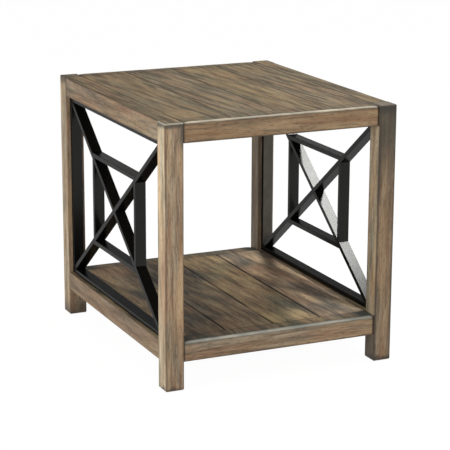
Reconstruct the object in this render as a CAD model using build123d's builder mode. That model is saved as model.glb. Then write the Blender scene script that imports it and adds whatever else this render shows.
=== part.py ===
"""Open end table: plank top and shelf in a hickory frame, with a steel lattice in each side.

Millimetres, +Z up. The origin is on the floor below the middle of the table.
The front faces -Y, the width runs along X and the depth along Y.
"""
import math
import os

from build123d import *

# ---------------------------------------------------------------- driving dimensions
# Overall
overall_width = 570.0
overall_depth = 675.0
overall_height = 610.0

# Frame
leg_side = 44.5               # square section of each leg
rail_height = 47.0            # all eight rails
floor_gap = 67.0              # floor to the underside of the lower rails
cross_rail_recess = 4.0       # front and rear rails lie behind the legs' faces
side_rail_recess = 1.0        # side rails lie behind the legs' outer faces
shoulder_gap = 0.2            # glue line at each rail shoulder

# Eased edges
leg_arris = 3.5
leg_top_arris = 2.8
foot_chamfer = 2.0
worn_arris = 6.0              # upper show edge of the front and rear rails
side_arris = 4.0              # upper outer edge of the side rails
rail_end_arris = 2.5
rail_under_arris = 2.0
seam_chamfer = 1.6            # half of each V groove

# Mortise and tenon
tenon_length = 13.0
tenon_thickness = 12.0
tenon_shoulder = 9.0          # above and below each tenon
mortise_clearance = 0.2
mortise_end_gap = 0.8

# Planks
plank_count = 4
plank_thickness = 18.0
plank_gap = 0.4               # between planks, and around each field of planks
tongue_length = 5.0
tongue_thickness = 6.0
tongue_clearance = 0.3

# Ledgers and battens under the planks
ledger_depth = 22.0
ledger_height = 18.0
batten_width = 60.0
support_end_gap = 0.3

# Wood screws, driven upwards
screw_shank_radius = 2.0
screw_head_radius = 4.0
screw_head_height = 2.6
screw_bite = 12.0             # thread in the plank
screw_clearance = 0.12

# Lattice of rectangular steel tube
bar_face = 11.0               # seen from the side
bar_depth = 26.0              # across the leg
tube_wall = 1.5
tube_corner = 0.8
lattice_gap = 0.3             # between the lattice and the wood
inner_half_width = 133.5      # centre of the lattice to the inner uprights
inner_half_height = 108.0     # centre of the lattice to the inner level bars

# Pins that locate the lattice in the rails
pin_radius = 3.0
pin_embed = 12.0
pin_inset = 60.0              # from the end of the lattice
pin_clearance = 0.12

# Floor glides
glide_thickness = 2.5
glide_radius = 11.0
glide_rim_chamfer = 0.8
glide_nail_radius = 1.6
glide_nail_length = 14.0
nail_clearance = 0.1

# ---------------------------------------------------------------- derived places
half_width = overall_width / 2
half_depth = overall_depth / 2
leg_x = half_width - leg_side / 2
leg_y = half_depth - leg_side / 2
leg_length = overall_height - glide_thickness
inner_x = half_width - leg_side      # inner faces of the legs and side rails
inner_y = half_depth - leg_side      # inner faces of the legs and cross rails

top_level = overall_height
shelf_level = floor_gap + rail_height
rail_levels = {"top": top_level, "shelf": shelf_level}
side_names = {"left": -1, "right": 1}
end_names = {"front": -1, "rear": 1}

side_rail_width = leg_side - side_rail_recess
cross_rail_width = leg_side - cross_rail_recess
tenon_height = rail_height - 2 * tenon_shoulder

field_width = 2 * (inner_x - plank_gap)
plank_pitch = (field_width + plank_gap) / plank_count
plank_width = plank_pitch - plank_gap
plank_length = 2 * (inner_y - plank_gap)

support_length = 2 * (inner_x - support_end_gap)
ledger_y = inner_y - ledger_depth / 2
screw_length = ledger_height + screw_bite

opening_low = shelf_level
opening_high = top_level - rail_height
lattice_z = (opening_low + opening_high) / 2
lattice_length = 2 * (inner_y - lattice_gap)
lattice_height = opening_high - opening_low - 2 * lattice_gap
stile_length = lattice_height - 2 * bar_face
pane_length = lattice_length - 2 * bar_face
brace_angle = math.degrees(math.atan2(stile_length, pane_length))
brace_slope = stile_length / pane_length
brace_reach = math.hypot(pane_length, stile_length) + 2 * bar_face
brace_half_rise = bar_face / 2 / math.cos(math.radians(brace_angle))
bore_face = bar_face - 2 * tube_wall
bore_depth = bar_depth - 2 * tube_wall

os.makedirs("parts", exist_ok=True)


def save(part, name):
    """Label a finished piece and write its STEP file."""
    part.label = name
    export_step(part, f"parts/{name}.step")


# ---------------------------------------------------------------- frame of hickory
def make_glide_hole(x, y):
    """Cut the blind hole for a glide's nail into the foot of the leg being built."""
    with Locations((x, y, glide_thickness)):
        Cylinder(
            glide_nail_radius + nail_clearance,
            glide_nail_length + nail_clearance,
            align=(Align.CENTER, Align.CENTER, Align.MIN),
            mode=Mode.SUBTRACT,
        )


def make_mortises(side, end, level):
    """Cut the two blind mortises that meet in a leg at one height."""
    depth = tenon_length + mortise_end_gap
    thickness = tenon_thickness + 2 * mortise_clearance
    height = tenon_height + 2 * mortise_clearance
    middle = level - rail_height / 2
    with Locations((side * leg_x, end * (inner_y + depth / 2), middle)):
        Box(thickness, depth, height, mode=Mode.SUBTRACT)
    with Locations((side * (inner_x + depth / 2), end * leg_y, middle)):
        Box(depth, thickness, height, mode=Mode.SUBTRACT)


def make_leg(name, side, end):
    """Square post with eased edges, four mortises and a hole for its glide."""
    with BuildPart() as leg:
        with BuildSketch(Plane.XY.offset(glide_thickness)):
            with Locations((side * leg_x, end * leg_y)):
                Rectangle(leg_side, leg_side)
        extrude(amount=leg_length)
        fillet(leg.edges().filter_by(Axis.Z), leg_arris)
        chamfer(leg.faces().sort_by(Axis.Z)[0].edges(), foot_chamfer)
        fillet(leg.faces().sort_by(Axis.Z)[-1].edges(), leg_top_arris)
        for level in rail_levels.values():
            make_mortises(side, end, level)
        make_glide_hole(side * leg_x, end * leg_y)
    save(leg.part, name)


def make_side_rail(name, side, level):
    """Rail from front leg to rear leg, drilled for the pins of the lattice."""
    outer_x = side * (half_width - side_rail_recess)
    length = 2 * (inner_y - shoulder_gap)
    faces_lattice = level - rail_height if level == top_level else level
    with BuildPart() as rail:
        with BuildSketch(Plane.XY.offset(level - rail_height)):
            with Locations((outer_x - side * side_rail_width / 2, 0)):
                Rectangle(side_rail_width, length)
        extrude(amount=rail_height)
        along = rail.edges().filter_by(Axis.Y)
        upper = along.group_by(Axis.Z)[-1].sort_by(Axis.X)
        lower = along.group_by(Axis.Z)[0]
        fillet(upper[0 if side < 0 else -1], side_arris)
        chamfer(upper[-1 if side < 0 else 0], seam_chamfer)
        fillet(lower, rail_under_arris)
        for end in end_names.values():
            with Locations((side * leg_x, end * (inner_y + tenon_length / 2), level - rail_height / 2)):
                Box(tenon_thickness, tenon_length + 2 * shoulder_gap, tenon_height)
        with Locations((side * leg_x, 0, faces_lattice)):
            with GridLocations(0, lattice_length - 2 * pin_inset, 1, 2):
                Cylinder(
                    pin_radius + pin_clearance,
                    2 * (pin_embed + pin_clearance),
                    mode=Mode.SUBTRACT,
                )
    save(rail.part, name)


def make_cross_rail(name, end, level):
    """Front or rear rail, with a rounded upper show edge and a tenon at each end."""
    outer_y = end * (half_depth - cross_rail_recess)
    length = 2 * (inner_x - shoulder_gap)
    with BuildPart() as rail:
        with BuildSketch(Plane.XY.offset(level - rail_height)):
            with Locations((0, outer_y - end * cross_rail_width / 2)):
                Rectangle(length, cross_rail_width)
        extrude(amount=rail_height)
        show_face = rail.faces().sort_by(Axis.Y)[0 if end < 0 else -1]
        fillet(show_face.edges().filter_by(Axis.Z), rail_end_arris)
        show_edges = rail.edges().filter_by(Axis.X).group_by(Axis.Y)[0 if end < 0 else -1]
        fillet(show_edges.sort_by(Axis.Z)[-1], worn_arris)
        show_edges = rail.edges().filter_by(Axis.X).group_by(Axis.Z)[0]
        fillet(show_edges, rail_under_arris)
        for side in side_names.values():
            with Locations((side * (inner_x + tenon_length / 2), end * leg_y, level - rail_height / 2)):
                Box(tenon_length + 2 * shoulder_gap, tenon_thickness, tenon_height)
    save(rail.part, name)


# ---------------------------------------------------------------- planks and their supports
def screw_shape(clearance, mode):
    """Countersunk screw, pointing up from its head, at each current location."""
    upward = (Align.CENTER, Align.CENTER, Align.MIN)
    Cylinder(screw_shank_radius + clearance, screw_length + clearance, align=upward, mode=mode)
    Cone(
        screw_head_radius + clearance,
        screw_shank_radius + clearance,
        screw_head_height,
        align=upward,
        mode=mode,
    )


def make_plank(name, index, level):
    """Plank with V-grooved edges, a tongue on its right and a groove on its left."""
    centre_x = (index - (plank_count - 1) / 2) * plank_pitch
    centre_z = level - plank_thickness / 2
    head_z = level - plank_thickness - ledger_height
    groove_length = tongue_length + tongue_clearance
    with BuildPart() as plank:
        with BuildSketch(Plane.XY.offset(level - plank_thickness)):
            with Locations((centre_x, 0)):
                Rectangle(plank_width, plank_length)
        extrude(amount=plank_thickness)
        chamfer(plank.edges().filter_by(Axis.Y).group_by(Axis.Z)[-1], seam_chamfer)
        if index < plank_count - 1:
            with Locations((centre_x + plank_width / 2 + tongue_length / 2, 0, centre_z)):
                Box(tongue_length, plank_length, tongue_thickness)
        if index > 0:
            with Locations((centre_x - plank_width / 2 + groove_length / 2, 0, centre_z)):
                Box(
                    groove_length,
                    plank_length,
                    tongue_thickness + 2 * tongue_clearance,
                    mode=Mode.SUBTRACT,
                )
        with Locations((centre_x, 0, head_z)):
            with GridLocations(0, ledger_y, 1, 3):
                screw_shape(screw_clearance, Mode.SUBTRACT)
    save(plank.part, name)


def make_support(name, centre_y, width, level):
    """Cross member under the planks, countersunk for one screw in each plank."""
    underside = level - plank_thickness - ledger_height
    with BuildPart() as support:
        with BuildSketch(Plane.XY.offset(underside)):
            with Locations((0, centre_y)):
                Rectangle(support_length, width)
        extrude(amount=ledger_height)
        with Locations((0, centre_y, underside)):
            with GridLocations(plank_pitch, 0, plank_count, 1):
                screw_shape(screw_clearance, Mode.SUBTRACT)
    save(support.part, name)


def make_plank_screws(name, level):
    """All the screws that hold one field of planks, as separate solids."""
    with BuildPart() as screws:
        with Locations((0, 0, level - plank_thickness - ledger_height)):
            with GridLocations(plank_pitch, ledger_y, plank_count, 3):
                screw_shape(0.0, Mode.ADD)
    save(screws.part, name)


# ---------------------------------------------------------------- lattice of steel tube
def lattice_plane(side):
    """Plane of one lattice: its x runs to the rear and its y runs up."""
    origin = (side * leg_x, 0, lattice_z)
    return Plane(origin=origin, x_dir=(0, 1, 0), z_dir=(1, 0, 0))


def ease_tube(bar, angle):
    """Round the long corners of the bar being built, which runs at an angle to +Y."""
    turn = math.radians(angle)
    direction = Axis((0, 0, 0), (0, math.cos(turn), math.sin(turn)))
    corners = bar.edges().filter_by(direction)
    fillet(corners, tube_corner)


def hollow_tube(plane, centre, angle):
    """Cut the bore of the tube being built, right through both of its ends."""
    with BuildSketch(plane) as bore:
        with Locations(centre):
            Rectangle(brace_reach, bore_face, rotation=angle)
    extrude(bore.sketch, amount=bore_depth / 2, both=True, mode=Mode.SUBTRACT)


def make_rail_bar(name, side, height):
    """Top or bottom bar of a lattice, holed for its two locating pins."""
    plane = lattice_plane(side)
    middle = height * (lattice_height - bar_face) / 2
    with BuildPart() as bar:
        with BuildSketch(plane):
            with Locations((0, middle)):
                Rectangle(lattice_length, bar_face)
        extrude(amount=bar_depth / 2, both=True)
        ease_tube(bar, 0)
        hollow_tube(plane, (0, middle), 0)
        with Locations((side * leg_x, 0, lattice_z + height * lattice_height / 2)):
            with GridLocations(0, lattice_length - 2 * pin_inset, 1, 2):
                Cylinder(pin_radius + pin_clearance, 2 * (tube_wall + pin_clearance), mode=Mode.SUBTRACT)
    save(bar.part, name)


def make_stile(name, side, end):
    """Upright bar beside a leg."""
    plane = lattice_plane(side)
    middle = end * (lattice_length - bar_face) / 2
    with BuildPart() as bar:
        with BuildSketch(plane):
            with Locations((middle, 0)):
                Rectangle(bar_face, stile_length)
        extrude(amount=bar_depth / 2, both=True)
        ease_tube(bar, 90)
        hollow_tube(plane, (middle, 0), 90)
    save(bar.part, name)


def make_brace(name, side):
    """The unbroken diagonal, from the upper front corner to the lower rear corner."""
    plane = lattice_plane(side)
    with BuildPart() as bar:
        with BuildSketch(plane):
            Rectangle(brace_reach, bar_face, rotation=-brace_angle)
            Rectangle(pane_length, stile_length, mode=Mode.INTERSECT)
        extrude(amount=bar_depth / 2, both=True)
        ease_tube(bar, -brace_angle)
        hollow_tube(plane, (0, 0), -brace_angle)
    save(bar.part, name)


def make_half_brace(name, side, end):
    """Half of the other diagonal, from a corner to the flank of the unbroken one."""
    plane = lattice_plane(side)
    with BuildPart() as bar:
        with BuildSketch(plane):
            Rectangle(brace_reach, bar_face, rotation=brace_angle)
            with Locations((end * pane_length / 4, 0)):
                Rectangle(pane_length / 2, stile_length, mode=Mode.INTERSECT)
            Rectangle(brace_reach, bar_face, rotation=-brace_angle, mode=Mode.SUBTRACT)
        extrude(amount=bar_depth / 2, both=True)
        ease_tube(bar, brace_angle)
        hollow_tube(plane, (0, 0), brace_angle)
    save(bar.part, name)


def make_inner_upright(name, side, end):
    """Upright of the inner rectangle, cut to the diagonals at both ends."""
    plane = lattice_plane(side)
    near = inner_half_width - bar_face / 2
    far = inner_half_width + bar_face / 2
    near_rise = near * brace_slope - brace_half_rise
    far_rise = far * brace_slope - brace_half_rise
    outline = [(end * near, near_rise), (end * far, far_rise), (end * far, -far_rise), (end * near, -near_rise)]
    with BuildPart() as bar:
        with BuildSketch(plane):
            Polygon(*outline, align=None)
        extrude(amount=bar_depth / 2, both=True)
        ease_tube(bar, 90)
        hollow_tube(plane, (end * inner_half_width, 0), 90)
    save(bar.part, name)


def make_inner_level(name, side, height):
    """Level bar of the inner rectangle, cut to the diagonals at both ends."""
    plane = lattice_plane(side)
    near = inner_half_height - bar_face / 2
    far = inner_half_height + bar_face / 2
    near_run = (near - brace_half_rise) / brace_slope
    far_run = (far - brace_half_rise) / brace_slope
    outline = [
        (near_run, height * near),
        (far_run, height * far),
        (-far_run, height * far),
        (-near_run, height * near),
    ]
    with BuildPart() as bar:
        with BuildSketch(plane):
            Polygon(*outline, align=None)
        extrude(amount=bar_depth / 2, both=True)
        ease_tube(bar, 0)
        hollow_tube(plane, (0, height * inner_half_height), 0)
    save(bar.part, name)


def make_pins(name, side):
    """Four steel pins through the outer tube walls into the rails."""
    reach = pin_embed + lattice_gap + bar_face - tube_wall - pin_clearance
    with BuildPart() as pins:
        for height in (-1, 1):
            end_z = lattice_z + height * (lattice_height / 2 + lattice_gap + pin_embed)
            with Locations((side * leg_x, 0, end_z - height * reach / 2)):
                with GridLocations(0, lattice_length - 2 * pin_inset, 1, 2):
                    Cylinder(pin_radius, reach)
    save(pins.part, name)


# ---------------------------------------------------------------- floor glides
def make_glide(name, side, end):
    """Nylon disc on a nail, under one leg."""
    upward = (Align.CENTER, Align.CENTER, Align.MIN)
    with BuildPart() as glide:
        with Locations((side * leg_x, end * leg_y, 0)):
            Cylinder(glide_radius, glide_thickness, align=upward)
        chamfer(glide.faces().sort_by(Axis.Z)[0].edges(), glide_rim_chamfer)
        with Locations((side * leg_x, end * leg_y, 0)):
            Cylinder(glide_nail_radius, glide_thickness + glide_nail_length, align=upward)
    save(glide.part, name)


# ---------------------------------------------------------------- the table
for side_name, side_sign in side_names.items():
    for end_name, end_sign in end_names.items():
        make_leg(f"{end_name}_{side_name}_leg", side_sign, end_sign)
        make_glide(f"{end_name}_{side_name}_glide", side_sign, end_sign)

for level_name, rail_level in rail_levels.items():
    for side_name, side_sign in side_names.items():
        make_side_rail(f"{side_name}_{level_name}_rail", side_sign, rail_level)
    for end_name, end_sign in end_names.items():
        make_cross_rail(f"{end_name}_{level_name}_rail", end_sign, rail_level)
        make_support(f"{end_name}_{level_name}_ledger", end_sign * ledger_y, ledger_depth, rail_level)
    make_support(f"{level_name}_batten", 0, batten_width, rail_level)
    make_plank_screws(f"{level_name}_plank_screws", rail_level)
    for plank_index in range(plank_count):
        make_plank(f"{level_name}_plank_{plank_index + 1}", plank_index, rail_level)

for side_name, side_sign in side_names.items():
    lattice = f"{side_name}_lattice"
    make_rail_bar(f"{lattice}_top_bar", side_sign, 1)
    make_rail_bar(f"{lattice}_bottom_bar", side_sign, -1)
    make_brace(f"{lattice}_brace", side_sign)
    make_inner_level(f"{lattice}_inner_top", side_sign, 1)
    make_inner_level(f"{lattice}_inner_bottom", side_sign, -1)
    make_pins(f"{lattice}_pins", side_sign)
    for end_name, end_sign in end_names.items():
        make_stile(f"{lattice}_{end_name}_stile", side_sign, end_sign)
        make_half_brace(f"{lattice}_{end_name}_half_brace", side_sign, end_sign)
        make_inner_upright(f"{lattice}_{end_name}_upright", side_sign, end_sign)
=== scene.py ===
"""Looks of an open hickory end table with a black steel lattice in each side.

Metres, +Z up, origin on the floor below the middle of the table, front facing -Y.
"""

import logging
import math
from dataclasses import dataclass, field, replace
from enum import Enum
from typing import Any, Callable, Self

import bmesh
import bpy
from bpy.types import ID, Material, Node, NodeSocket, NodeTree, Object
from mathutils import Euler, Matrix, Vector, noise


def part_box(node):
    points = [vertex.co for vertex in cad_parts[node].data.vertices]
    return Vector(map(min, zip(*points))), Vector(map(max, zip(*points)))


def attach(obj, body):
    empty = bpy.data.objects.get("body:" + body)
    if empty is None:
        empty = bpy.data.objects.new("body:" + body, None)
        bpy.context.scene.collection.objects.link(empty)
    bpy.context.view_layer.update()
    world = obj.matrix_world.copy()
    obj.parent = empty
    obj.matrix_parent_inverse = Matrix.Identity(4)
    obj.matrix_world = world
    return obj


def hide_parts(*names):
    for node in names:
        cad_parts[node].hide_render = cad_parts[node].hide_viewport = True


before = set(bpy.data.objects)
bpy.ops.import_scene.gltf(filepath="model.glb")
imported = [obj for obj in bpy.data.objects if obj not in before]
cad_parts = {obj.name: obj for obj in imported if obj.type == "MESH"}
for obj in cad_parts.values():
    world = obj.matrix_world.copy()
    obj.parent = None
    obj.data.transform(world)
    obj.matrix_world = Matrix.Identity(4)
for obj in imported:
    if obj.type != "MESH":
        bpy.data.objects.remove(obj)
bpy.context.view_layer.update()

log = logging.getLogger("table")

MM = 0.001
WHITE = (1.0, 1.0, 1.0, 1.0)
STRAIGHT = 0.9  # least part of an edge's direction along an axis that it counts as running along


# ---- colours and directions
def tone(red: float, green: float, blue: float) -> tuple[float, float, float, float]:
    """Turn a colour as seen, in 0 to 255, into the linear colour that a shader takes.

    Args:
        red, green, blue: the colour's parts.

    Returns:
        The linear colour with full alpha.
    """
    knee, slope, offset, power = 0.04045, 12.92, 0.055, 2.4
    linear = []
    for part in (red, green, blue):
        share = part / 255
        linear.append(share / slope if share <= knee else ((share + offset) / (1 + offset)) ** power)
    return (linear[0], linear[1], linear[2], 1.0)


class Grain(Enum):
    """Axes along, across and through the fibres of a board."""

    X = (0, 1, 2)
    Y = (1, 0, 2)
    Z = (2, 0, 1)


class Edge(Enum):
    """How the corners of a board have aged."""

    STAINED = "dark stain gathered along the corners"
    RUBBED = "rubbed pale along the upper show corner"
    SEAMED = "dark stain gathered in the grooves beside a plank"
    SAWN = "left plain"


# ---- shader building
def link(value: Any, socket: NodeSocket) -> None:
    """Give an input a number, a colour or what a node gives.

    Args:
        value: the number, colour or Value.
        socket: the input.
    """
    if isinstance(value, Value):
        value.tree.links.new(value.socket, socket)
    else:
        socket.default_value = value


def add_node(tree: NodeTree, kind: str, inputs: dict | tuple = (), **settings: Any) -> Node:
    """Add a node to a tree.

    Args:
        tree: the tree.
        kind: the node's type, without ShaderNode before it.
        inputs: what its inputs are given, by their names or numbers or in their order.
        settings: properties of the node.

    Returns:
        The new node.
    """
    made = tree.nodes.new(f"ShaderNode{kind}")
    for name, value in settings.items():
        setattr(made, name, value)
    for key, value in (inputs.items() if isinstance(inputs, dict) else enumerate(inputs)):
        link(value, made.inputs[key])
    return made


class Value:
    """A number, vector or colour that a node gives."""

    def __init__(self, socket: NodeSocket) -> None:
        """Stand for one output of a node."""
        self.socket = socket
        self.tree = socket.id_data

    def __add__(self, other: Any) -> Self:
        """The sum of two."""
        return reckon("ADD", self, other)

    def __sub__(self, other: Any) -> Self:
        """This less another."""
        return reckon("SUBTRACT", self, other)

    def __rsub__(self, other: Any) -> Self:
        """Another less this."""
        return reckon("SUBTRACT", other, self)

    def __mul__(self, other: Any) -> Self:
        """The product of two."""
        return reckon("MULTIPLY", self, other)

    def __abs__(self) -> Self:
        """A number without its sign."""
        return reckon("ABSOLUTE", self)

    def most(self, other: Any) -> Self:
        """The larger of two numbers."""
        return reckon("MAXIMUM", self, other)

    def least(self, other: Any) -> Self:
        """The smaller of two numbers."""
        return reckon("MINIMUM", self, other)

    def split(self) -> tuple:
        """The three parts of a vector."""
        parted = add_node(self.tree, "SeparateXYZ", (self,))
        return tuple(Value(part) for part in parted.outputs)

    def noise(self, scale: float, detail: float = 3.0, rough: float = 0.5,
              distortion: float = 0.0) -> Self:
        """Smooth noise from 0 to 1 at this place, where scale says how often it changes per metre."""
        inputs = {"Vector": self, "Scale": scale, "Detail": detail, "Roughness": rough,
                  "Distortion": distortion}
        return Value(add_node(self.tree, "TexNoise", inputs).outputs["Fac"])

    def band(self, low: float, high: float, start: float = 0.0, end: float = 1.0) -> Self:
        """Ease from start to end while this number goes from low to high."""
        eased = add_node(self.tree, "MapRange", (self, low, high, start, end),
                         interpolation_type="SMOOTHSTEP")
        return Value(eased.outputs[0])

    def fade(self, low: float, high: float, start: float = 1.0) -> Self:
        """Ease from start to 0 in the same way."""
        return self.band(low, high, start, 0.0)


def known(*values: Any) -> Value:
    """The first value that a node gives."""
    return next(value for value in values if isinstance(value, Value))


def reckon(operation: str, *values: Any, **settings: Any) -> Value:
    """Work something out from numbers or vectors, of which a node gives at least one.

    Args:
        operation: what is done with them.
        values: the numbers or vectors.
        settings: other properties of the node.

    Returns:
        The outcome.
    """
    given = known(*values)
    kind = "VectorMath" if given.socket.type == "VECTOR" else "Math"
    made = add_node(given.tree, kind, values, operation=operation, **settings)
    return Value(made.outputs[0])


def join(x: Any, y: Any, z: Any) -> Value:
    """A vector from its three parts."""
    return Value(add_node(known(x, y, z).tree, "CombineXYZ", (x, y, z)).outputs[0])


def mix(share: Any, first: Any, second: Any, blend: str = "MIX") -> Value:
    """Mix two colours.

    Args:
        share: share of the second colour.
        first, second: the colours.
        blend: the blend type.

    Returns:
        The mixed colour.
    """
    factor, colour_a, colour_b, result = 0, 6, 7, 2
    inputs = {factor: share, colour_a: first, colour_b: second}
    mixer = add_node(known(share, first, second).tree, "Mix", inputs,
                     data_type="RGBA", blend_type=blend)
    return Value(mixer.outputs[result])


def seen(tree: NodeTree) -> Value:
    """Tell what is seen from mere light.

    Args:
        tree: the tree that asks.

    Returns:
        1 for what the camera sees, also in gloss and through glass, or else 0.
    """
    path = add_node(tree, "LightPath").outputs
    direct, gloss, through = (Value(path[f"Is {ray} Ray"]) for ray in ("Camera", "Glossy", "Transmission"))
    return direct.most(gloss).most(through)


class Shader:
    """One material, which knows a point's place and the way that its face looks."""

    def __init__(self, name: str) -> None:
        """Make an empty material with a Principled surface.

        Args:
            name: its name.
        """
        self.material = bpy.data.materials.new(name)
        self.material.use_nodes = True
        self.tree = self.material.node_tree
        self.surface = self.tree.nodes["Principled BSDF"]
        coords = add_node(self.tree, "TexCoord").outputs
        self.place = Value(coords["Object"])
        self.xyz = self.place.split()
        self.facing = Value(coords["Normal"]).split()

    def give(self, inputs: dict) -> None:
        """Set inputs of the surface by name."""
        for name, value in inputs.items():
            link(value, self.surface.inputs[name])

    def edge_distance(self, low: Vector, high: Vector) -> Value:
        """Distance from a point on a box's surface to the box's nearest corner line.

        Args:
            low, high: the box's lowest and highest corners.

        Returns:
            The middle one of the point's distances to the three pairs of faces.
        """
        depths = []
        for part, below, above in zip(self.xyz, low, high):
            depths.append((above - below) / 2 - abs(part - (below + above) / 2))
        least, most = depths[0].least(depths[1]), depths[0].most(depths[1])
        return least.most(most.least(depths[2]))

    def finish(self, colour: Any, roughness: Any, height: Value, depth: float) -> Material:
        """Join the last values to the surface.

        Args:
            colour, roughness: the surface's colour and roughness.
            height: height of its small bumps, from 0 to 1.
            depth: what a height of 1 stands for, in metres.

        Returns:
            The finished material.
        """
        bump = add_node(self.tree, "Bump", {"Height": height, "Distance": depth})
        self.give({"Base Color": colour, "Roughness": roughness, "Normal": Value(bump.outputs[0])})
        return self.material


@dataclass(frozen=True)
class Streaks:
    """A pattern that is drawn out along the fibres.

    Attributes:
        along, across: how often it changes per metre, along and across the fibres.
        detail, rough: how many finer layers it has, and how strong they are.
    """

    along: float
    across: float
    detail: float = 3.0
    rough: float = 0.5

    def on(self, board: Value) -> Value:
        """The pattern, from 0 to 1, at a place on a board."""
        place = board * (self.along, self.across, self.across)
        return place.noise(1.0, self.detail, self.rough)


SWAY = Streaks(5.0, 9.0, 2.0)
BROAD_TONES = Streaks(4.5, 26.0, 3.0, 0.6)
FINE_TONES = Streaks(9.0, 95.0, 3.0, 0.6)
RING_WANDER = Streaks(6.0, 30.0, 2.0)
FIBRES = Streaks(14.0, 240.0, 4.0, 0.7)
PORES = Streaks(60.0, 620.0, 2.0)
FRAY = Streaks(30.0, 160.0, 2.0)
AGEING = Streaks(9.0, 9.0, 2.0)
RUBBING = Streaks(14.0, 14.0)
SEEPING = Streaks(30.0, 60.0)
SCRAPING = Streaks(60.0, 26.0, 2.0)

# Levels of the patterns between which a tone comes in.
WARM_TONES = (0.36, 0.62)
DEEP_TONES = (0.42, 0.7, 0.0, 0.8)
PALE_FIBRES = (0.46, 0.72)
DEEP_FIBRES = (0.5, 0.28)
OPEN_PORES = (0.54, 0.7)

# Distances from an edge between which stain, wear and painted shade fade, in metres.
SEAM_REACH = (1.8 * MM, 5 * MM)
CORNER_REACH = (1.5 * MM, 7 * MM)
BEHIND_REACH = (10 * MM, 55 * MM)
END_REACH = (25 * MM, 75 * MM)
SHOULDER_SHADE_REACH = (1.5 * MM, 4.5 * MM)
CREST_REACH = (2.5 * MM, 4.5 * MM)
JOINT_SHADE_REACH = (5 * MM, 8 * MM)

# Parts of a face's direction along an axis between which it counts as facing that way.
FORWARD = LEFTWARD = (-0.5, -0.9)
UPWARD = (0.55, 0.85)
INWARD = (0.7, 0.9)
ENDWARD = (0.75, 0.95)


# ---- finishes
@dataclass(frozen=True)
class Look:
    """What sets one board apart from the others of its finish.

    Attributes:
        grain: direction of its fibres.
        edge: how its corners look.
        seed: number that sets its pattern apart.
        lightness: factor on its whole colour.
        left_tone_and_light: further factor on the faces that look to the left, tinted cool: partly their
            lighter wood, partly painted light from the left.
        front_darkening: heights between which the front face darkens with the smoky tone, from none to
            full, if it does.
        crown: how far dark stain reaches down from a post's top; 0 for other boards.
        foot: how far the post darkens up from the floor.
        stain_and_shade_strips: for the left (-1) or the right (1) corner of the front face, how wide a dark
            strip lies along it, how strong, and how far down from the top; on the right rear leg it is
            painted shade.
        crest: how strongly the corner round a post's top and its upper face are rubbed bare.
        cap: how strongly dark stain covers a post's upper face.
    """

    grain: Grain
    edge: Edge
    seed: int
    lightness: float = 1.0
    left_tone_and_light: float = 1.0
    front_darkening: tuple = ()
    crown: float = 0.0
    foot: float = 0.0
    stain_and_shade_strips: tuple = ()
    crest: tuple = (0.0, 0.0)
    cap: float = 0.0


@dataclass
class Coat:
    """A board's surface while it is built up.

    Attributes:
        shader: its material.
        board: where a point is along, across and through it, set apart for this board.
        colour: its colour so far.
        fibre, pores: the patterns of its fibres and its pores.
        smoke: how far the smokiest patches cover it.
    """

    shader: Shader
    board: Value
    colour: Value
    fibre: Value
    pores: Value
    smoke: Value | None = None

    def cover(self, share: Value, colour: Any) -> None:
        """Lay a colour over a share of the surface."""
        self.colour = mix(share, self.colour, colour)


@dataclass(frozen=True)
class Patch:
    """Patches of one colour that stain and wear left along a board.

    Attributes:
        colour: their colour.
        cover, strength: what share of the board they take, and how fully they hide it, 0 to 1.
        length, width: their usual size along and across the fibres, in metres.
        softness: half the span of noise over which they fade in.
        slant: angle at which they cross the fibres, in degrees.
        seed: number that sets them apart.
        shared: whether boards side by side share them.
    """

    colour: tuple
    cover: float
    strength: float
    length: float
    width: float
    softness: float = 0.1
    slant: float = 0.0
    seed: float = 0.0
    shared: bool = False

    def lay(self, coat: Coat, place: Value) -> None:
        """Lay the patches over a coat.

        Args:
            coat: the coat, whose colour and smoke change.
            place: where a point is along, across and through all the boards.
        """
        reach, noise_settings, rarest, span = 2.0, (0.7, 2.0, 0.45, 0.2), 0.68, 0.36
        start = place if self.shared else coat.board
        start += (math.sin(self.seed) * reach, math.cos(self.seed) * reach, 0.0)
        turn = {"Vector": start, "Angle": math.radians(self.slant)}
        turned = add_node(start.tree, "VectorRotate", turn, rotation_type="Z_AXIS").outputs[0]
        scaled = Value(turned) * (1 / self.length, 1 / self.width, 1 / self.width)
        middle = rarest - span * self.cover
        coat.smoke = scaled.noise(*noise_settings).band(
            middle - self.softness, middle + self.softness, 0.0, self.strength)
        coat.cover(coat.smoke, self.colour)


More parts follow.
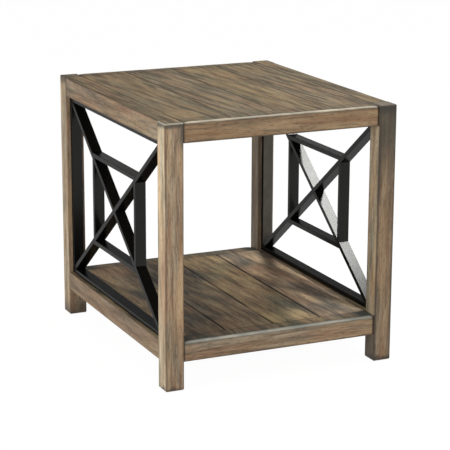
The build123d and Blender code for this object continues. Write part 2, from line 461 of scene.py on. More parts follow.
@dataclass(frozen=True)
class Planking:
    """Where the planks of one level lie, so that all that was stained with them matches.

    Attributes:
        start: where the first plank's left side lies.
        pitch: distance from plank to plank.
        seed: number that sets the level apart.
        jump: how far the pattern jumps from plank to plank, along and through them.
        tints: for red, green and blue, how far planks differ and how fast that turns.
        tint_step: how far the turns of two colours are apart.
    """

    start: float
    pitch: float
    seed: int
    jump: tuple = (1.37, 0.61)
    tints: tuple = ((0.07, 2.4), (0.05, 2.4), (0.08, 3.9))
    tint_step: float = 0.3

    @classmethod
    def of(cls, level: str) -> Self:
        """Read the planks' places from the frame."""
        first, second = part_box(f"{level}_plank_1")[0].x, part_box(f"{level}_plank_2")[0].x
        return cls(first, second - first, PLANK_SEEDS[level])

    def index(self, shader: Shader) -> Value:
        """Which plank a point is in line with, counted from 0."""
        return reckon("FLOOR", reckon("DIVIDE", shader.xyz[0] - self.start, self.pitch))

    def shift(self, shader: Shader) -> Value:
        """A jump of the pattern from each plank to the next."""
        index = self.index(shader)
        return join(index * self.jump[0], 0.0, index * self.jump[1])

    def tint(self, coat: Coat, variety: float) -> None:
        """Make some planks a little darker or redder than others.

        Args:
            coat: the coat, whose colour changes.
            variety: how strongly the planks differ.
        """
        index = self.index(coat.shader)
        shades = []
        for part, (spread, turn) in enumerate(self.tints):
            wave = reckon("SINE", index * turn + (self.seed + part * self.tint_step))
            shades.append(wave * (spread * variety) + 1.0)
        coat.colour = mix(1.0, coat.colour, join(*shades), "MULTIPLY")


@dataclass(frozen=True)
class HickoryFinish:
    """Hickory, brushed and stained grey-brown.

    Attributes:
        patches: what lies over the wood's tones, lowest first; the last is the smokiest.
        pale, warm, deep: tones of the wood itself.
        smoky, corner: tones of the dark stain at ends and in smears, and of that along corners.
        pore: tone of the pores.
        rubbed, worn: pale and dull tones of a rubbed corner.
        seam: strength of the dark line in the grooves between boards.
        contrast, ring_strength: strengths of the fibres and of the growth rings.
        roughness: roughness of the clean wood.
        sway, rub: how far the fibres wander, and how wide a rubbed corner is, in metres.
        behind, ends: strengths of the dark stain behind a rubbed corner, all along and at its ends.
        variety: how strongly planks differ from each other.
    """

    patches: tuple[Patch, ...]
    pale: tuple = tone(176, 158, 132)
    warm: tuple = tone(160, 131, 101)
    deep: tuple = tone(108, 87, 66)
    smoky: tuple = tone(70, 68, 61)
    corner: tuple = tone(82, 66, 52)
    pore: tuple = tone(54, 44, 36)
    rubbed: tuple = tone(186, 178, 160)
    worn: tuple = tone(160, 154, 138)
    seam: float = 0.6
    contrast: float = 0.6
    ring_strength: float = 0.3
    roughness: float = 0.55
    sway: float = 8 * MM
    rub: float = 6 * MM
    behind: float = 0.6
    ends: float = 0.0
    variety: float = 1.0

    def coat(self, shader: Shader, grain: Grain, seed: int, planking: Planking | None = None) -> Coat:
        """Lay the stain on a board's faces.

        Args:
            shader: the board's material.
            grain: direction of the fibres.
            seed: number that sets the board apart.
            planking: the planks whose pattern the board joins in, if it does.

        Returns:
            The coat, without its corners.
        """
        reach, pore_strength, end_strength = 3.0, 0.55, 0.5
        plain = join(*(shader.xyz[axis] for axis in grain.value))
        turns = (math.sin(seed * 1.7), math.cos(seed * 2.3), math.sin(seed * 3.1))
        board = plain + [reach * turn for turn in turns]
        if planking:
            board += planking.shift(shader)
        sway = (SWAY.on(board) - 0.5) * self.sway
        bent = join(0.0, sway, sway)
        board += bent
        pores = PORES.on(board).band(*OPEN_PORES)
        tones = mix(BROAD_TONES.on(board).band(*WARM_TONES), self.pale, self.warm)
        coat = Coat(shader, board, tones, FIBRES.on(board), pores)

        coat.cover(FINE_TONES.on(board).band(*DEEP_TONES), self.deep)
        coat.cover(self._rings(board, seed) * self.ring_strength, self.deep)
        for patch in self.patches:
            patch.lay(coat, plain + bent)
        coat.cover(coat.fibre.band(*PALE_FIBRES, 0.0, self.contrast), self.pale)
        coat.cover(coat.fibre.band(*DEEP_FIBRES, 0.0, self.contrast), self.deep)
        coat.cover(pores * pore_strength, self.pore)
        if planking:
            planking.tint(coat, self.variety)
        end_grain = abs(shader.facing[grain.value[0]])
        coat.cover(end_grain.band(*ENDWARD, 0.0, end_strength), self.smoky)
        return coat

    def _rings(self, board: Value, seed: int) -> Value:
        """Growth rings about a heart that lies beside the board and tilts along it.

        Args:
            board: where a point is on the board.
            seed: number that sets the board apart.

        Returns:
            1 in the dark rings and 0 between them.
        """
        heart_depth, pitch, wander, lean, lean_spread = 60 * MM, 8 * MM, 14.0, 0.05, 0.03
        along, across, through = board.split()
        tilt = along * (lean + lean_spread * math.sin(seed * 5.3))
        heart = join(0.0, across + tilt, through + heart_depth)
        length = add_node(board.tree, "VectorMath", (heart,), operation="LENGTH")
        phase = Value(length.outputs["Value"]) * (2 * math.pi / pitch) + RING_WANDER.on(board) * wander
        return reckon("SINE", phase).band(0.0, 1.0)


@dataclass
class Wear:
    """Stain that gathered on a board, and wear.

    Attributes:
        finish: the board's finish.
        look: says where stain gathers and what is rubbed bare.
        low, high: the board's box.
        coat: the coat, whose colour changes.
    """

    finish: HickoryFinish
    look: Look
    low: Vector
    high: Vector
    coat: Coat

    def age(self) -> None:
        """Age the board's corners as its Edge says."""
        edge, coat, low, high = self.look.edge, self.coat, self.low, self.high
        if edge is Edge.SAWN:
            return
        fray, wide = FRAY.on(coat.board), AGEING.on(coat.board)
        if edge is Edge.SEAMED:
            offset = abs(coat.shader.xyz[0] - (low.x + high.x) / 2)
            distance = (high.x - low.x) / 2 - offset + fray * (0.8 * MM)
            seam = wide.band(0.3, 0.55, 0.4 * self.finish.seam, self.finish.seam)
            coat.cover(distance.fade(*SEAM_REACH) * seam, self.finish.pore)
            return
        beyond = Vector((3 * MM, 0, 0)) if edge is Edge.RUBBED else Vector()
        distance = coat.shader.edge_distance(low - beyond, high + beyond) + fray * (3 * MM)
        stain = distance.fade(*CORNER_REACH) * wide.band(0.35, 0.65, 0.5, 0.95)
        coat.cover(stain, self.finish.corner)
        if edge is Edge.RUBBED:
            self._rub(fray)

    def _rub(self, fray: Value) -> None:
        """Rub the upper show corner of a cross rail pale, with dark stain before and behind it.

        Args:
            fray: noise that frays the edges of the stain.
        """
        finish, coat, high = self.finish, self.coat, self.high
        x, y, z = coat.shader.xyz
        from_face = (high.y if high.y > 0 else -self.low.y) - abs(y)
        from_top, from_end = high.z - z, high.x - abs(x)
        away = from_face.most(from_top) + fray * (3 * MM)
        slow, width, strength = RUBBING.on(coat.board), finish.rub, finish.behind

        behind = from_face.band(*BEHIND_REACH, strength, 0.3 * strength) * slow.band(0.38, 0.6, 0.3)
        behind = behind.most((from_end + slow * (30 * MM)).fade(*END_REACH, finish.ends))
        coat.cover(behind * from_top.fade(1 * MM, 3 * MM), finish.smoky)
        coat.cover(away.fade(width + 1 * MM, width + 8 * MM, 0.55), finish.smoky)
        rubbed = away.fade(width, width + 3 * MM, 0.95) * from_end.band(0.0, 12 * MM, 0.4)
        coat.cover(rubbed, mix(slow.band(0.38, 0.62), finish.worn, finish.rubbed))
        # A dark line at both shoulders: the joint, with painted shade in it.
        coat.cover(from_end.fade(*SHOULDER_SHADE_REACH, 0.85), finish.pore)

    def gather(self) -> None:
        """Darken the post at its head, foot and front; along the right rear leg's inner front corner it is
        painted shade.
        """
        coat, look, finish = self.coat, self.look, self.finish
        x, _, height = coat.shader.xyz
        _, forward, upward = coat.shader.facing
        drift = (SEEPING.on(coat.board) - 0.5) * (40 * MM)
        sunk = self.high.z - height
        # The front face darkens with the smoky tone between two heights.
        if look.front_darkening:
            coat.cover(height.band(*look.front_darkening, 0.0, 0.7) * forward.band(*FORWARD), finish.smoky)
        if look.crown:
            crown = (sunk + drift * 0.3).fade(7 * MM, look.crown, 0.85)
            coat.cover(crown * upward.band(0.5, 0.8, 1.0, look.cap), finish.smoky)
        # Dark strips along the front corners; on the right rear leg, the painted shadow of the lattice's
        # stile.
        for corner, width, strength, reach in look.stain_and_shade_strips:
            inward = (self.high.x - x if corner > 0 else x - self.low.x) + drift * 0.25
            stain_and_shade = inward.fade(2 * MM, width, strength) * forward.band(-0.3, -0.7)
            coat.cover(stain_and_shade * sunk.fade(0.5 * reach, reach), finish.smoky)
        # The post darkens towards the floor.
        if look.foot:
            coat.cover((height - self.low.z + drift).fade(2 * MM, look.foot, 0.75), finish.pore)

    def paint_joint_shade(self) -> None:
        """Paint shade on the inner face: with the dark joint in the corners at the recessed cross rails,
        and the shadow below the shelf.
        """
        coat, pore = self.coat, self.finish.pore
        _, y, z = coat.shader.xyz
        inner = (coat.shader.facing[0] * (1.0 if self.high.x < 0 else -1.0)).band(*INWARD)
        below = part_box("front_shelf_rail")[0].z
        # Painted shadow on the inner face below the shelf.
        coat.cover(z.fade(below - 4 * MM, below + 4 * MM, 0.8) * inner, pore)
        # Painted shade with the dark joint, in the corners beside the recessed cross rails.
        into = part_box("rear_left_leg")[1].y - abs(y)
        corner = into.fade(*JOINT_SHADE_REACH, 0.9) * inner
        for rail in ("front_top_rail", "front_shelf_rail"):
            foot, head = (end.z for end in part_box(rail))
            half = (head - foot) / 2
            coat.cover(corner * abs(z - (foot + head) / 2).fade(half, half + 2 * MM), pore)

    def bare_head(self) -> None:
        """Rub the stain off the post's head."""
        corner_strength, top_strength = self.look.crest
        upward, sunk = self.coat.shader.facing[2], self.high.z - self.coat.shader.xyz[2]
        corner = sunk.fade(*CREST_REACH, corner_strength) * upward.fade(0.85, 0.95)
        self.coat.cover(corner.most(upward.band(0.8, 0.95, 0.0, top_strength)), self.finish.worn)


def board_material(name: str, finish: HickoryFinish, look: Look, low: Vector, high: Vector) -> Material:
    """Make the material of one board, whose upper face was stained with the planks beside it.

    Args:
        name: the material's name, which starts with the board's.
        finish: the board's finish.
        look: what sets the board apart.
        low, high: the board's box.

    Returns:
        The material.
    """
    shader, level = Shader(name), "shelf" if "shelf_" in name else "top"
    planks, planking = PLANK_WOODS[level], Planking.of(level)
    coat = finish.coat(shader, look.grain, look.seed, planking if finish is planks else None)
    if finish is not planks and look.edge is not Edge.SAWN:
        topping = planks.coat(shader, Grain.Y, planking.seed, planking)
        coat.cover(shader.facing[2].band(*UPWARD), topping.colour)
    # Faces that look to the left take a cool factor: partly the wood's own tone, partly painted light from
    # the left.
    if look.left_tone_and_light != 1.0:
        left_tone_and_light_factor = (look.left_tone_and_light, 1.08 * look.left_tone_and_light, 1.12 * look.left_tone_and_light, 1.0)
        coat.cover(shader.facing[0].band(*LEFTWARD), mix(1.0, coat.colour, left_tone_and_light_factor, "MULTIPLY"))
    wear = Wear(finish, look, low, high, coat)
    wear.gather()
    wear.age()
    if look.crown:
        wear.paint_joint_shade()
        wear.bare_head()
    shade = (look.lightness, look.lightness, look.lightness, 1.0)
    colour = mix(1.0, coat.colour, shade, "MULTIPLY")

    scraped, sunk, raised, relief = 0.9, 0.35, 0.35, 0.35 * MM
    dull_smoke, dull_fibre, gloss = 0.1, 0.12, 0.35
    height = SCRAPING.on(coat.board) * scraped - coat.pores * sunk + coat.fibre * raised
    clean = coat.smoke * dull_smoke + finish.roughness
    rough = reckon("ADD", clean, coat.fibre * dull_fibre, use_clamp=True)
    shader.give({"Specular IOR Level": gloss})
    return shader.finish(colour, rough, height, relief)


# Scale per metre, detail and roughness of black steel's patterns.
STEEL_CLOUD = (30.0, 4.0, 0.6)
STEEL_SPECKLE = (900.0, 2.0, 0.5)


@dataclass(frozen=True)
class SteelFinish:
    """Blackened steel tube, satin.

    Attributes:
        black, worn: tones of the clean and of the worn surface.
        roughness: roughness of the clean surface.
        metallic: how metallic it looks.
        glance: strength of its gloss at a glancing angle.
        painted_sheen: tone of a painted reflection, a dull brownish sheen on its front face, if there is
            one.
    """

    black: tuple = tone(41, 41, 40)
    worn: tuple = tone(55, 54, 51)
    roughness: float = 0.16
    metallic: float = 0.8
    glance: float = 0.56
    painted_sheen: tuple = ()

    def material(self, name: str, seed: int) -> Material:
        """Make the material of one bar.

        Args:
            name: the bar's name.
            seed: number that sets its pattern apart.

        Returns:
            The material.
        """
        shader = Shader(name)
        place = shader.place + (seed * 0.37, seed * 0.11, 0.0)
        cloud, speckle = place.noise(*STEEL_CLOUD), place.noise(*STEEL_SPECKLE)
        colour = mix(cloud.band(0.45, 0.8, 0.0, 0.25), self.black, self.worn)
        colour = mix(speckle.band(0.6, 0.8, 0.0, 0.2), colour, self.worn)
        rough = cloud * 0.08 + self.roughness + speckle * 0.04
        metallic = self.metallic
        # Painted reflection: a dull brownish sheen on the front face, less metallic and rougher.
        if self.painted_sheen:
            front = shader.facing[1].band(*FORWARD)
            sheened = mix(cloud.band(0.35, 0.7, 0.0, 0.35), self.painted_sheen, self.worn)
            colour, rough = mix(front, colour, sheened), rough + front * 0.14
            metallic = (1.0 - front) * self.metallic
        shader.give({"Specular IOR Level": 0.25, "Metallic": metallic,
                     "Specular Tint": (self.glance, self.glance, self.glance, 1.0)})
        return shader.finish(colour, rough, speckle + cloud * 2.0, 0.03 * MM)


@dataclass(frozen=True)
class PlainFinish:
    """A small hidden piece's finish: zinc, turned steel or nylon.

    Attributes:
        colour, mottled: its two tones.
        metallic: how metallic it looks.
        roughness: roughness where it is smoothest.
        scale: how often the tones change per metre.
    """

    colour: tuple
    mottled: tuple
    metallic: float
    roughness: float
    scale: float

    def material(self, name: str) -> Material:
        """Make the material.

        Args:
            name: its name.

        Returns:
            The material.
        """
        shader = Shader(name)
        cloud = shader.place.noise(self.scale, 4.0, 0.6)
        shader.give({"Metallic": self.metallic})
        colour = mix(cloud.band(0.35, 0.7), self.colour, self.mottled)
        return shader.finish(colour, cloud * 0.15 + self.roughness, cloud, 0.02 * MM)


FRAME_WOOD = HickoryFinish((
    Patch(tone(190, 158, 118), 0.35, 0.6, 0.16, 0.02, 0.12, seed=1),
    Patch(tone(138, 98, 70), 0.35, 0.6, 0.14, 0.012, 0.1, seed=2),
    Patch(tone(84, 84, 74), 0.3, 0.6, 0.12, 0.014, 0.12, seed=3),
))
TOP_WOOD = HickoryFinish(
    (
        Patch(tone(160, 135, 96), 0.45, 0.7, 0.16, 0.022, 0.12, seed=40),
        Patch(tone(142, 106, 80), 0.32, 0.5, 0.18, 0.03, 0.12, seed=44),
        Patch(tone(101, 98, 78), 0.4, 0.55, 0.12, 0.03, 0.12, 8, 58, True),
        Patch(tone(68, 60, 46), 0.42, 0.75, 0.12, 0.009, 0.09, 4, 38),
    ),
    pale=tone(154, 138, 109), warm=tone(138, 115, 85), deep=tone(93, 78, 57), smoky=tone(76, 80, 72),
    seam=0.35, variety=0.45,
)
SHELF_WOOD = HickoryFinish(
    (
        Patch(tone(218, 191, 145), 0.5, 0.85, 0.1, 0.034, 0.16, 10, 55),
        Patch(tone(152, 113, 85), 0.35, 0.65, 0.12, 0.045, 0.16, -6, 56),
        Patch(tone(62, 74, 72), 0.42, 0.85, 0.1, 0.05, 0.15, 14, 48, True),
        Patch(tone(66, 56, 46), 0.35, 0.6, 0.14, 0.01, 0.12, 5, 35),
    ),
    pale=tone(190, 170, 138), warm=tone(168, 138, 104), deep=tone(104, 86, 66), smoky=tone(66, 82, 84),
    seam=1.0,
)
TOP_RAIL_WOOD = replace(
    FRAME_WOOD, pale=tone(168, 144, 112), warm=tone(154, 120, 86), rubbed=tone(218, 204, 178),
    worn=tone(186, 178, 158), rub=4 * MM, behind=0.4)
SHELF_RAIL_WOOD = replace(
    FRAME_WOOD, rubbed=tone(198, 193, 177), worn=tone(160, 162, 152), smoky=tone(62, 77, 77),
    rub=5 * MM, behind=0.38, ends=0.8)
SAWN_WOOD = HickoryFinish(
    (Patch(tone(178, 150, 112), 0.3, 0.5, 0.1, 0.02),), pale=tone(190, 165, 130), warm=tone(176, 146, 110))
PLANK_WOODS = {"top": TOP_WOOD, "shelf": SHELF_WOOD}
PLANK_SEEDS = {"top": 41, "shelf": 52}
BLACK_STEEL = SteelFinish()
# Black steel with a painted reflection on its front face.
SHEENED_STEEL = SteelFinish(painted_sheen=tone(92, 88, 80))
ZINC = PlainFinish(tone(190, 190, 192), tone(150, 152, 156), 1.0, 0.35, 700.0)
TURNED_STEEL = PlainFinish(tone(150, 150, 150), tone(110, 110, 112), 1.0, 0.4, 500.0)
NYLON = PlainFinish(tone(58, 48, 40), tone(44, 38, 33), 0.0, 0.55, 300.0)


def dress(node: str, material: Material) -> None:
    """Give a solid of the frame one material.

    Args:
        node: the solid's name.
        material: its finish.
    """
    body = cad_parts[node].data
    body.materials.clear()
    body.materials.append(material)


def put(name: str, data: ID) -> Object:
    """Put a mesh, a lamp or a camera into the scene.

    Args:
        name: its name.
        data: what is put there.

    Returns:
        The new object.
    """
    placed = bpy.data.objects.new(name, data)
    bpy.context.scene.collection.objects.link(placed)
    return placed


def stand(name: str, mesh: bmesh.types.BMesh, material: Material) -> Object:
    """Put a worked mesh into the scene.

    Args:
        name: the object's name.
        mesh: the mesh, which is used up.
        material: its finish.

    Returns:
        The new object.
    """
    data = bpy.data.meshes.new(name)
    mesh.to_mesh(data)
    mesh.free()
    data.materials.append(material)
    return put(name, data)


# ---- boards made by hand
@dataclass
class Board:
    """A board's mesh, sawn from a block and worn by hand.

    Attributes:
        name: the piece's name.
        low, high: the corners of its box.
        grain: direction of its fibres.
        step: distance between the cuts along the board and across it.
        crease: angle between two faces from which their edge stays sharp, in degrees.
        mesh: its mesh while it is worked.
    """

    name: str
    low: Vector
    high: Vector
    grain: Grain
    step: tuple[float, float] = (12 * MM, 10 * MM)
    crease: float = 38.0
    mesh: bmesh.types.BMesh = field(init=False)

    def __post_init__(self) -> None:
        """Start from a block that fills the box."""
        self.mesh = bmesh.new()
        bmesh.ops.create_cube(self.mesh, size=1.0)
        bmesh.ops.scale(self.mesh, vec=self.high - self.low, verts=self.mesh.verts)
        bmesh.ops.translate(self.mesh, vec=(self.low + self.high) / 2, verts=self.mesh.verts)

    def ease(self, picks: Callable, width: float, segments: int) -> None:
        """Round the edges that a test picks.

        Args:
            picks: function of an edge's middle and direction, true for an edge to round.
            width: width of the rounding, in metres.
            segments: number of facets round it.
        """
        chosen = []
        for edge in self.mesh.edges:
            first, last = (vertex.co for vertex in edge.verts)
            if picks((first + last) / 2, (last - first).normalized()):
                chosen.append(edge)
        bmesh.ops.bevel(self.mesh, geom=chosen, offset=width, offset_type="OFFSET", segments=segments,
                        profile=0.5, affect="EDGES", material=-1, clamp_overlap=True)

    def slice(self) -> None:
        """Cut the board across its length and its width, so that it can be worn."""
        run, side, _ = self.grain.value
        for axis, step in ((run, self.step[0]), (side, self.step[1])):
            span = self.high[axis] - self.low[axis]
            count = max(2, round(span / step))
            normal = Vector([float(i == axis) for i in range(3)])
            for index in range(1, count):
                place = normal * (self.low[axis] + span * index / count)
                everything = self.mesh.verts[:] + self.mesh.edges[:] + self.mesh.faces[:]
                bmesh.ops.bisect_plane(self.mesh, geom=everything, dist=1e-6, plane_co=place,
                                       plane_no=normal)

    def wear(self, move: Callable) -> None:
        """Shift each vertex by what a function of its place gives."""
        for vertex in self.mesh.verts:
            vertex.co += move(vertex.co.copy())

    def build(self, material: Material, slot: str, node: str) -> None:
        """Turn the mesh into the finished piece.

        Args:
            material: its finish.
            slot: the record's material slot; not used.
            node: the solid that it stands for.
        """
        bmesh.ops.recalc_face_normals(self.mesh, faces=self.mesh.faces)
        piece = stand(self.name, self.mesh, material)
        for face in piece.data.polygons:
            face.use_smooth = True
        piece.data.set_sharp_from_angle(angle=math.radians(self.crease))
        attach(piece, "root")
        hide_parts(node)


def roll(place: Vector, stretch: tuple[float, float, float], seed: float) -> float:
    """Slow noise from -1 to 1 at a place, drawn out by a stretch per metre."""
    x, y, z = (part * factor for part, factor in zip(place, stretch))
    return noise.noise(Vector((x + seed, y - seed, z)))


@dataclass
class PlankField:
    """The four planks of the top or of the shelf.

    Attributes:
        level: "top" or "shelf".
        scrape: how deep the scraper went at most.
        groove: width of the roundings along a plank's upper edges.
        count: number of planks.
        strokes, ripple: how often the scraper's strokes and its chatter change per metre.
    """

    level: str
    scrape: float = 0.45 * MM
    groove: float = 1.7 * MM
    count: int = 4
    strokes: tuple = (38.0, 6.0, 0.0)
    ripple: tuple = (12.0, 55.0, 0.0)

    def build(self) -> None:
        """Make the planks, each scraped along its length."""
        last_low, last_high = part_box(f"{self.level}_plank_{self.count}")
        for index in range(1, self.count + 1):
            self._plank(index, last_high.x - last_low.x)

    def _plank(self, index: int, width: float) -> None:
        """Make one plank.

        Args:
            index: its number, counted from 1.
            width: its width without its tongue.
        """
        node, seed = f"{self.level}_plank_{index}", PLANK_SEEDS[self.level] + index
        low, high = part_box(node)
        high.x = low.x + width
        board = Board(f"{node}_scraped", low, high, Grain.Y)
        middle_z = (low.z + high.z) / 2
        board.ease(lambda middle, way: abs(way.y) > STRAIGHT and middle.z > middle_z, self.groove, 3)
        board.slice()

        def scraped(place: Vector) -> Vector:
            """Lower the upper face in long shallow strokes.

            Args:
                place: where a vertex is.

            Returns:
                How it moves.
            """
            if place.z < middle_z:
                return Vector()
            strokes = 0.5 + 0.5 * roll(place, self.strokes, seed * 3.3)
            ripple = 0.5 + 0.5 * roll(place, self.ripple, seed * 7.7)
            return Vector((0, 0, -self.scrape * (0.7 * strokes + 0.3 * ripple)))

        board.wear(scraped)
        look = Look(Grain.Y, Edge.SEAMED, PLANK_SEEDS[self.level])
        material = board_material(f"{node}_hickory", PLANK_WOODS[self.level], look, low, high)
        board.build(material, "plank_hickory", node)
        log.info("plank %s: %.0f mm wide", node, width / MM)


@dataclass
class CrossRails:
    """The front and rear rails, whose upper show corners are rubbed round.

    Attributes:
        names: the solids that they stand for.
        seed: number that sets the first one apart.
        lightness: factor on their colour.
        shoulder_gap: gap between a rail's shoulder and its leg.
        show_round, end_round: widths of the roundings of the upper show corner and of the others.
        dent, dents: how deep the show corner is dented at most, and how often per metre.
        worn_depth: how far behind the corner its wear ends, in widths of its rounding.
        droop, droop_reach: how far the show corner falls at its ends, and over what length.
        rear_rub, rear_behind: the rub and behind of the rear rails' finish.
    """

    names: tuple = ("front_top_rail", "rear_top_rail", "front_shelf_rail", "rear_shelf_rail")
    seed: int = 20
    lightness: float = 0.92
    shoulder_gap: float = 0.2 * MM
    show_round: float = 5 * MM
    end_round: float = 4.5 * MM
    dent: float = 0.9 * MM
    dents: tuple = (24.0, 40.0, 40.0)
    worn_depth: float = 2.2
    droop: float = 4 * MM
    droop_reach: float = 18 * MM
    rear_rub: float = 8 * MM
    rear_behind: float = 0.3

    def build(self) -> None:
        """Make the four rails between the legs' inner faces."""
        for seed, node in enumerate(self.names, self.seed):
            self._rail(node, seed)

    def _rail(self, node: str, seed: int) -> None:
        """Make one rail.

        Args:
            node: the solid that it stands for.
            seed: number that sets it apart.
        """
        low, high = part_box(node)
        high.x = -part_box("front_left_leg")[1].x - self.shoulder_gap
        low.x = -high.x
        outward = -1.0 if high.y < 0 else 1.0
        face = low.y if outward < 0 else high.y
        board = Board(f"{node}_rubbed", low, high, Grain.X, (10 * MM, 10 * MM))
        near = 0.1 * MM

        def is_show(middle: Vector, way: Vector) -> bool:
            """The upper outer corner."""
            outer, upper = abs(middle.y - face) < near, abs(middle.z - high.z) < near
            return abs(way.x) > STRAIGHT and outer and upper

        def is_end(middle: Vector, way: Vector) -> bool:
            """The upright outer corners and the lower ones."""
            outer, lower = abs(middle.y - face) < near, abs(middle.z - low.z) < near
            return (abs(way.z) > STRAIGHT and outer) or (abs(way.x) > STRAIGHT and lower)

        board.ease(is_show, self.show_round, 5)
        board.ease(is_end, self.end_round, 3)
        board.slice()

        def rubbed(place: Vector) -> Vector:
            """Dent the upper show corner and let it fall away at both ends.

            Args:
                place: where a vertex is.

            Returns:
                How it moves.
            """
            depth = max(abs(place.y - face), high.z - place.z) / (self.show_round * self.worn_depth)
            share = max(0.0, 1.0 - depth)
            dents = 0.5 + 0.5 * roll(place, self.dents, seed * 5.1)
            end = max(0.0, 1.0 - (high.x - abs(place.x)) / self.droop_reach)
            inward = -outward * self.dent * dents
            fall = -(self.dent * dents + self.droop * end * end)
            return Vector((0, inward, fall)) * share

        board.wear(rubbed)
        finish = TOP_RAIL_WOOD if "_top_" in node else SHELF_RAIL_WOOD
        if node.startswith("rear"):
            finish = replace(finish, rub=self.rear_rub, behind=self.rear_behind)
        look = Look(Grain.X, Edge.RUBBED, seed, self.lightness)
        board.build(board_material(f"{node}_hickory", finish, look, low, high), "frame_hickory", node)
        log.info("rail %s: %.0f mm between its shoulders", node, 2 * high.x / MM)


# ---- dressed solids
@dataclass
class Posts:
    """Legs, side rails and what lies hidden under the planks.

    Attributes:
        legs: the look of each leg.
        side_rails: the rails that run from front to rear.
        rail_seed, rail_lightness: the first one's seed, and the factor on their colour.
        hidden, hidden_seed: the ledgers and battens, and the first one's seed.
    """

    legs: dict = field(default_factory=lambda: {
        "front_left_leg": Look(
            Grain.Z, Edge.STAINED, 1, 1.1, 1.6, crown=16 * MM, foot=14 * MM,
            stain_and_shade_strips=((1, 19 * MM, 0.95, 75 * MM), (-1, 6 * MM, 0.3, 1.0)), crest=(1.0, 0.0)),
        "front_right_leg": Look(
            Grain.Z, Edge.STAINED, 2, 0.76, 1.5, front_darkening=(0.4, 0.56), crown=34 * MM, foot=14 * MM,
            stain_and_shade_strips=((-1, 6 * MM, 0.7, 1.0), (1, 8 * MM, 0.45, 1.0)), crest=(0.1, 0.35), cap=0.5),
        "rear_left_leg": Look(
            Grain.Z, Edge.STAINED, 3, 1.1, 1.3, front_darkening=(0.5, -0.6), crown=24 * MM, foot=45 * MM,
            cap=0.7),
        # Its dark strip along the inner front corner is the painted shadow of the lattice's stile.
        "rear_right_leg": Look(
            Grain.Z, Edge.STAINED, 4, 0.92, 0.66, crown=16 * MM, foot=20 * MM,
            stain_and_shade_strips=((-1, 14 * MM, 0.6, 1.0),)),
    })
    side_rails: tuple = ("left_top_rail", "right_top_rail", "left_shelf_rail", "right_shelf_rail")
    rail_seed: int = 11
    rail_lightness: float = 0.9
    hidden: tuple = ("front_top_ledger", "rear_top_ledger", "front_shelf_ledger",
                     "rear_shelf_ledger", "top_batten", "shelf_batten")
    hidden_seed: int = 30

    def dress(self) -> None:
        """Finish the legs, the side rails and the supports."""
        looks = dict(self.legs)
        for seed, node in enumerate(self.side_rails, self.rail_seed):
            looks[node] = Look(Grain.Y, Edge.STAINED, seed, self.rail_lightness)
        for node, look in looks.items():
            dress(node, board_material(f"{node}_hickory", FRAME_WOOD, look, *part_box(node)))
        for seed, node in enumerate(self.hidden, self.hidden_seed):
            look = Look(Grain.X, Edge.SAWN, seed)
            dress(node, board_material(f"{node}_wood", SAWN_WOOD, look, *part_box(node)))
        log.info("dressed %d legs and side rails", len(looks))


@dataclass
class Lattice:
    """The welded steel lattice of one side.

    Attributes:
        side: "left" or "right".
        seed: number that sets its first bar apart.
        sheened: the one bar with a painted reflection on its front face.
    """

    side: str
    seed: int
    sheened: str = "right_lattice_rear_stile"

    def dress(self) -> None:
        """Blacken every bar and leave the pins bright."""
        bars = sorted(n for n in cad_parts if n.startswith(f"{self.side}_lattice"))
        for index, node in enumerate(bars):
            if node.endswith("_pins"):
                dress(node, TURNED_STEEL.material(f"{node}_steel"))
                continue
            finish = SHEENED_STEEL if node == self.sheened else BLACK_STEEL
            dress(node, finish.material(f"{node}_paint", self.seed + index))
        log.info("dressed the %s lattice: %d bars", self.side, len(bars) - 1)


@dataclass
class Fittings:
    """Screws and glides."""

    def dress(self) -> None:
        """Finish them."""
        zinc = ZINC.material("zinc_screws")
        nylon = NYLON.material("glide_nylon")
        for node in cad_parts:
            if node.endswith("_screws"):
                dress(node, zinc)
            elif node.endswith("_glide"):
                dress(node, nylon)
        log.info("dressed the screws and glides")


# ---- studio
@dataclass(frozen=True)
class Softbox:
    """A lamp with a soft rectangular face.

    Attributes:
        name: its name.
        place, target: where it hangs and where it points.
        size: its width and height.
        power: watts.
    """

    name: str
    place: tuple[float, float, float]
    target: tuple[float, float, float]
    size: tuple[float, float]
    power: float

    def hang(self) -> None:
        """Hang the lamp."""
        data = bpy.data.lights.new(self.name, "AREA")
        data.shape = "RECTANGLE"
        data.size, data.size_y = self.size
        data.energy = self.power
        lamp = put(self.name, data)
        lamp.location = self.place
        lamp.rotation_euler = (Vector(self.target) - Vector(self.place)).to_track_quat("-Z", "Y").to_euler()


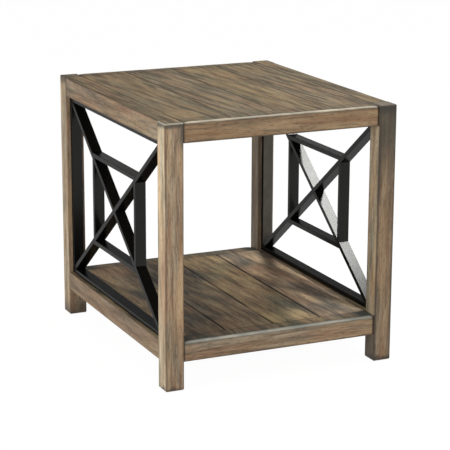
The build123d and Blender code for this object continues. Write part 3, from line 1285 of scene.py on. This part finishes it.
@dataclass
class Studio:
    """Floor, light and camera.

    Attributes:
        floor_size: the floor's length and width.
        floor_tone, speck_tone: its two tones.
        floor_glow, glow_share: strength of its white glow and the glow's share of what is seen.
        lamps: the lamps.
        room_light: the room's strength as a light.
        ceiling: heights of a ray between which the white room fades, and its strengths there.
        camera_place: where the camera stands.
        pitch, roll, yaw: how far it looks down, leans and looks to the right, in degrees.
        focal_pixels, image_width: its focal length and its picture's width, in pixels.
        sensor: its picture's width in millimetres.
    """

    floor_size: float = 14.0
    floor_tone: tuple = tone(244, 243, 241)
    speck_tone: tuple = tone(228, 227, 225)
    floor_glow: float = 1.04
    glow_share: float = 0.93
    lamps: tuple = (
        Softbox("overhead softbox", (1.25, -0.02, 2.3), (0.2, 0.0, 0.35), (0.7, 0.38), 34.0),
        Softbox("left softbox", (-2.8, -1.3, 1.4), (0.0, 0.0, 0.3), (1.8, 1.8), 43.0),
        Softbox("front softbox", (-0.6, -3.6, 1.3), (0.0, 0.0, 0.3), (1.8, 1.4), 16.0),
    )
    room_light: float = 0.42
    ceiling: tuple = (0.1, 0.22, 1.0, 0.18)
    camera_place: tuple = (-1.688, -3.7205, 1.344)
    pitch: float = 14.64
    roll: float = 0.22
    yaw: float = 24.55
    focal_pixels: float = 1747.7
    image_width: float = 450.0
    sensor: float = 36.0

    def build(self) -> None:
        """Set up all but the table."""
        self._floor()
        self._world()
        for lamp in self.lamps:
            lamp.hang()
        self._camera()

    def _floor(self) -> None:
        """A pale floor that stays near white to the camera and keeps the soft shadow."""
        shader = Shader("pale_floor")
        tree = shader.tree
        speck = shader.place.noise(40.0).band(0.3, 0.7, 0.0, 0.3)
        shader.give({"Base Color": mix(speck, self.floor_tone, self.speck_tone),
                     "Roughness": 0.9, "Specular IOR Level": 0.1})
        glow = add_node(tree, "Emission", {"Color": WHITE, "Strength": self.floor_glow})
        shown = (seen(tree) * self.glow_share, Value(shader.surface.outputs[0]), Value(glow.outputs[0]))
        both = add_node(tree, "MixShader", shown)
        link(Value(both.outputs[0]), tree.nodes["Material Output"].inputs["Surface"])
        mesh = bmesh.new()
        bmesh.ops.create_grid(mesh, x_segments=1, y_segments=1, size=self.floor_size / 2)
        stand("floor", mesh, shader.material)

    def _world(self) -> None:
        """A white room: full white to the eye and in gloss, softer as light."""
        world = bpy.data.worlds.new("room")
        bpy.context.scene.world = world
        world.use_nodes = True
        tree = world.node_tree
        heading = Value(add_node(tree, "TexCoord").outputs["Generated"])
        white = heading.split()[2].band(*self.ceiling)
        light = {"Value": seen(tree), "To Min": self.room_light, "To Max": white}
        strength = add_node(tree, "MapRange", light).outputs[0]
        background = tree.nodes["Background"].inputs
        link(WHITE, background["Color"])
        link(Value(strength), background["Strength"])

    def _camera(self) -> None:
        """Stand the camera in front of the table, to the left, looking a little down."""
        data = bpy.data.cameras.new("camera")
        data.sensor_width = self.sensor
        data.lens = self.focal_pixels / self.image_width * self.sensor
        camera = put("camera", data)
        turn = Euler((math.radians(90 - self.pitch), 0, math.radians(-self.yaw))).to_matrix()
        turn = turn @ Matrix.Rotation(math.radians(self.roll), 3, "Z")
        camera.matrix_world = Matrix.Translation(self.camera_place) @ turn.to_4x4()
        bpy.context.scene.camera = camera


def main() -> None:
    """Build the table's looks and the room round it."""
    logging.basicConfig(level=logging.INFO, format="%(message)s")
    bpy.context.scene.view_settings.view_transform = "Standard"
    PlankField("top").build()
    PlankField("shelf").build()
    CrossRails().build()
    Posts().dress()
    Lattice("left", 60).dress()
    Lattice("right", 80).dress()
    Fittings().dress()
    Studio().build()


if __name__ == "__main__":
    main()
